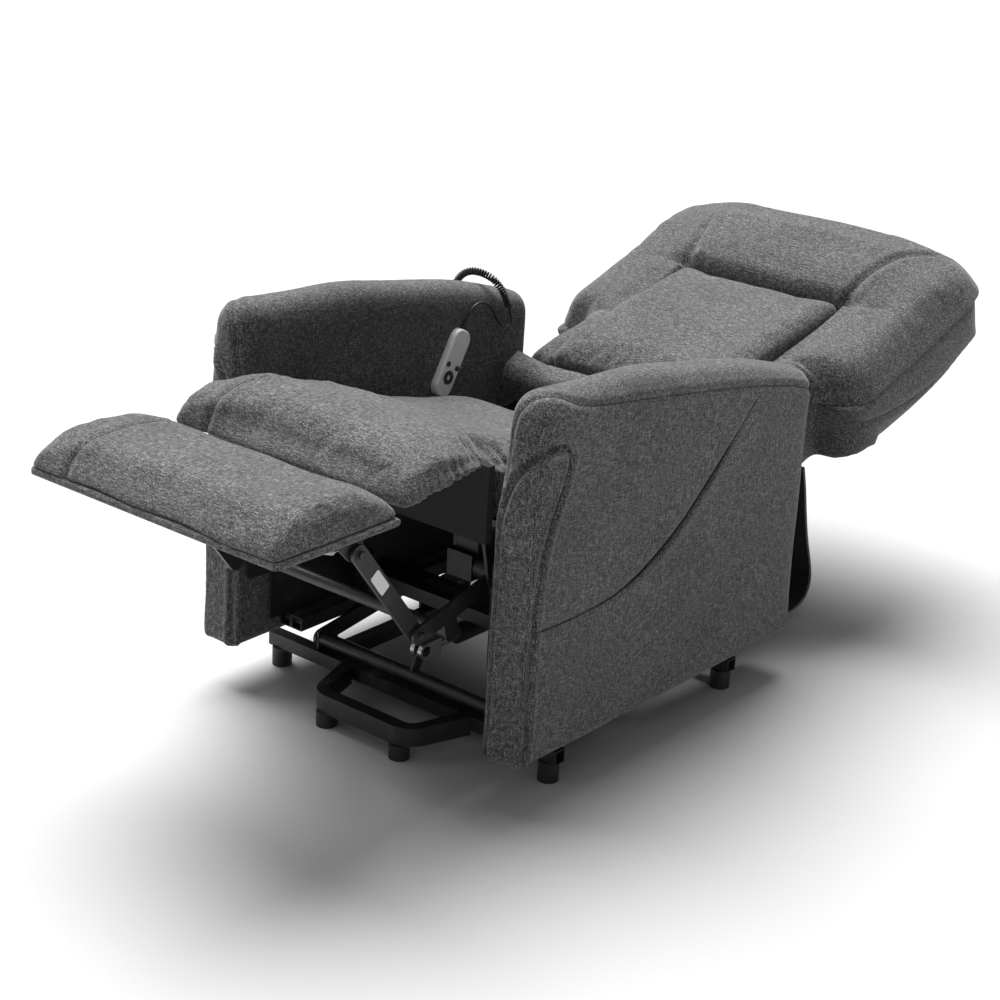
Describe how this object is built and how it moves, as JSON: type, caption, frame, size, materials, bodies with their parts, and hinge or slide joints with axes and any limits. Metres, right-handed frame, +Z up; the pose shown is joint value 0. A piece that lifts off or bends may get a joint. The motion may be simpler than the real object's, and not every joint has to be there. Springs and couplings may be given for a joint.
{
  "type": "lift recliner chair",
  "caption": "Powered riser recliner armchair with padded back, raised footrest, steel lifting base, side pocket and wired handset, shown fully reclined.",
  "frame": {"origin": "on the floor under the middle of the chair as stored, reclined with its footrest raised", "axes": "+Z up, -Y the way the chair faces, +X towards the sitter's left-hand arm as drawn from the front"},
  "size_m": [0.7485, 1.961, 0.7053],
  "materials": {
    "charcoal_upholstery": "matte",
    "black_lining": "matte",
    "black_frame_steel": "satin",
    "dark_link_steel": "satin",
    "bright_steel": "satin",
    "black_plastic": "matte",
    "cord_jacket": "satin",
    "white_plastic": "gloss",
    "grey_button_plastic": "matte",
    "timber": "matte"
  },
  "bodies": {
    "base": {"base_cross_tubes": "black_frame_steel", "base_side_rails": "black_frame_steel", "base_front_loop": "black_frame_steel", "base_feet": "black_plastic", "base_link_brackets": "black_frame_steel", "lift_motor": "black_plastic", "lift_drive_tube": "black_plastic", "lift_motor_bracket": "black_frame_steel"},
    "lift_front_links": {"lift_front_links": "dark_link_steel", "lift_crank_shaft": "dark_link_steel"},
    "lift_rear_links": {"lift_rear_links": "dark_link_steel"},
    "lift_drive_rod": {"lift_drive_rod": "bright_steel"},
    "cradle": {"cradle_side_rails": "black_frame_steel", "cradle_cross_tubes": "black_frame_steel"},
    "chassis": {"chassis_rails": "black_frame_steel", "chassis_side_plates": "black_frame_steel", "inner_side_panels": "black_lining", "arm_frames": "timber", "arm_cover_left": "charcoal_upholstery", "arm_cover_right": "charcoal_upholstery", "arm_facings": "charcoal_upholstery", "side_pocket": "charcoal_upholstery", "handset_back_shell": "white_plastic", "handset_front_shell": "white_plastic", "handset_strain_relief": "black_plastic", "handset_cord": "cord_jacket", "handset_cord_coil": "cord_jacket", "handset_cord_tail": "cord_jacket", "control_box": "black_plastic"},
    "seat": {"seat_side_rails": "black_frame_steel", "back_hinge_plates": "black_frame_steel", "seat_cross_rails": "black_frame_steel", "footrest_hangers": "black_frame_steel", "seat_front_board": "black_lining", "seat_springs": "bright_steel", "seat_cushion": "charcoal_upholstery", "recline_drive_tube": "black_plastic", "recline_motor": "black_plastic", "rear_skirt": "black_lining"},
    "recline_drive_rod": {"recline_drive_rod": "bright_steel"},
    "back": {"back_frame": "black_frame_steel", "back_shell": "charcoal_upholstery", "back_lumbar_roll": "charcoal_upholstery", "back_centre_cushion": "charcoal_upholstery", "back_side_cushions": "charcoal_upholstery", "head_cushion": "charcoal_upholstery", "head_end_pad": "charcoal_upholstery"},
    "footrest_rear_links": {"footrest_rear_links": "dark_link_steel"},
    "footrest_front_links": {"footrest_front_links": "dark_link_steel"},
    "footrest": {"footrest_brackets": "black_frame_steel", "footrest_board": "timber", "footrest_pad": "charcoal_upholstery"},
    "calf_rest": {"calf_board": "black_lining", "calf_pad": "charcoal_upholstery"},
    "button_raise": {"button_raise": "grey_button_plastic"},
    "button_lower": {"button_lower": "grey_button_plastic"},
    "button_back_up": {"button_back_up": "grey_button_plastic"},
    "button_back_down": {"button_back_down": "grey_button_plastic"},
    "button_footrest_up": {"button_footrest_up": "grey_button_plastic"},
    "button_footrest_down": {"button_footrest_down": "grey_button_plastic"}
  },
  "joints": [
    {"name": "lift", "type": "hinge", "parent": "base", "child": "lift_front_links", "pos_m": [0, -0.3725, 0.08], "axis": [1, 0, 0], "range_deg": [0, 52], "deforming": ["rear_skirt"]},
    {"name": "lift_rear_swing", "type": "hinge", "parent": "base", "child": "lift_rear_links", "pos_m": [0, -0.0865, 0.08], "axis": [1, 0, 0], "range_deg": [0, 52]},
    {"name": "cradle_level", "type": "hinge", "parent": "lift_front_links", "child": "cradle", "pos_m": [0, -0.12493, 0.11479], "axis": [1, 0, 0], "range_deg": [-52, 0]},
    {"name": "lift_drive_stroke", "type": "slide", "parent": "base", "child": "lift_drive_rod", "axis": [0, -1, 0], "range_m": [0, 0.03945]},
    {"name": "chassis_tilt", "type": "hinge", "parent": "cradle", "child": "chassis", "pos_m": [0, -0.4045, 0.1148], "axis": [1, 0, 0], "range_deg": [0, 22]},
    {"name": "seat_tilt", "type": "hinge", "parent": "chassis", "child": "seat", "pos_m": [0, 0.0785, 0.264], "axis": [1, 0, 0], "range_deg": [0, 6]},
    {"name": "recline", "type": "hinge", "parent": "seat", "child": "back", "pos_m": [0, 0.1555, 0.375], "axis": [1, 0, 0], "range_deg": [0, 50], "deforming": ["rear_skirt"]},
    {"name": "recline_drive_stroke", "type": "slide", "parent": "seat", "child": "recline_drive_rod", "axis": [0, 1, 0], "range_m": [0, 0.11191]},
    {"name": "footrest", "type": "hinge", "parent": "seat", "child": "footrest_rear_links", "pos_m": [0, -0.4335, 0.341], "axis": [1, 0, 0], "range_deg": [0, 117.7]},
    {"name": "footrest_front_link_level", "type": "hinge", "parent": "footrest_rear_links", "child": "footrest_front_links", "pos_m": [0, -0.6025, 0.298], "axis": [1, 0, 0], "range_deg": [-117.7, 0]},
    {"name": "footrest_fold", "type": "hinge", "parent": "footrest_front_links", "child": "footrest", "pos_m": [0, -0.7375, 0.471], "axis": [1, 0, 0], "range_deg": [0, 88]},
    {"name": "calf_fold", "type": "hinge", "parent": "seat", "child": "calf_rest", "pos_m": [0, -0.5245, 0.556], "axis": [1, 0, 0], "range_deg": [0, 68]},
    {"name": "press_raise", "type": "slide", "parent": "chassis", "child": "button_raise", "axis": [-1, 0, 0], "range_m": [0, 0.0012], "stiffness_N_per_m": 400},
    {"name": "press_lower", "type": "slide", "parent": "chassis", "child": "button_lower", "axis": [-1, 0, 0], "range_m": [0, 0.0012], "stiffness_N_per_m": 400},
    {"name": "press_back_up", "type": "slide", "parent": "chassis", "child": "button_back_up", "axis": [-1, 0, 0], "range_m": [0, 0.0012], "stiffness_N_per_m": 400},
    {"name": "press_back_down", "type": "slide", "parent": "chassis", "child": "button_back_down", "axis": [-1, 0, 0], "range_m": [0, 0.0012], "stiffness_N_per_m": 400},
    {"name": "press_footrest_up", "type": "slide", "parent": "chassis", "child": "button_footrest_up", "axis": [-1, 0, 0], "range_m": [0, 0.0012], "stiffness_N_per_m": 400},
    {"name": "press_footrest_down", "type": "slide", "parent": "chassis", "child": "button_footrest_down", "axis": [-1, 0, 0], "range_m": [0, 0.0012], "stiffness_N_per_m": 400}
  ],
  "couplings": [
    {"joint": "lift_rear_swing", "follows": "lift", "ratio": 1},
    {"joint": "cradle_level", "follows": "lift", "ratio": -1},
    {"joint": "lift_drive_stroke", "follows": "lift", "m_per_rad": 0.043471},
    {"joint": "chassis_tilt", "follows": "lift", "ratio": 0.42308},
    {"joint": "seat_tilt", "follows": "recline", "ratio": 0.12},
    {"joint": "recline_drive_stroke", "follows": "recline", "m_per_rad": 0.12824},
    {"joint": "footrest_front_link_level", "follows": "footrest", "ratio": -1},
    {"joint": "footrest_fold", "follows": "footrest", "ratio": 0.74766},
    {"joint": "calf_fold", "follows": "footrest", "ratio": 0.57774}
  ]
}
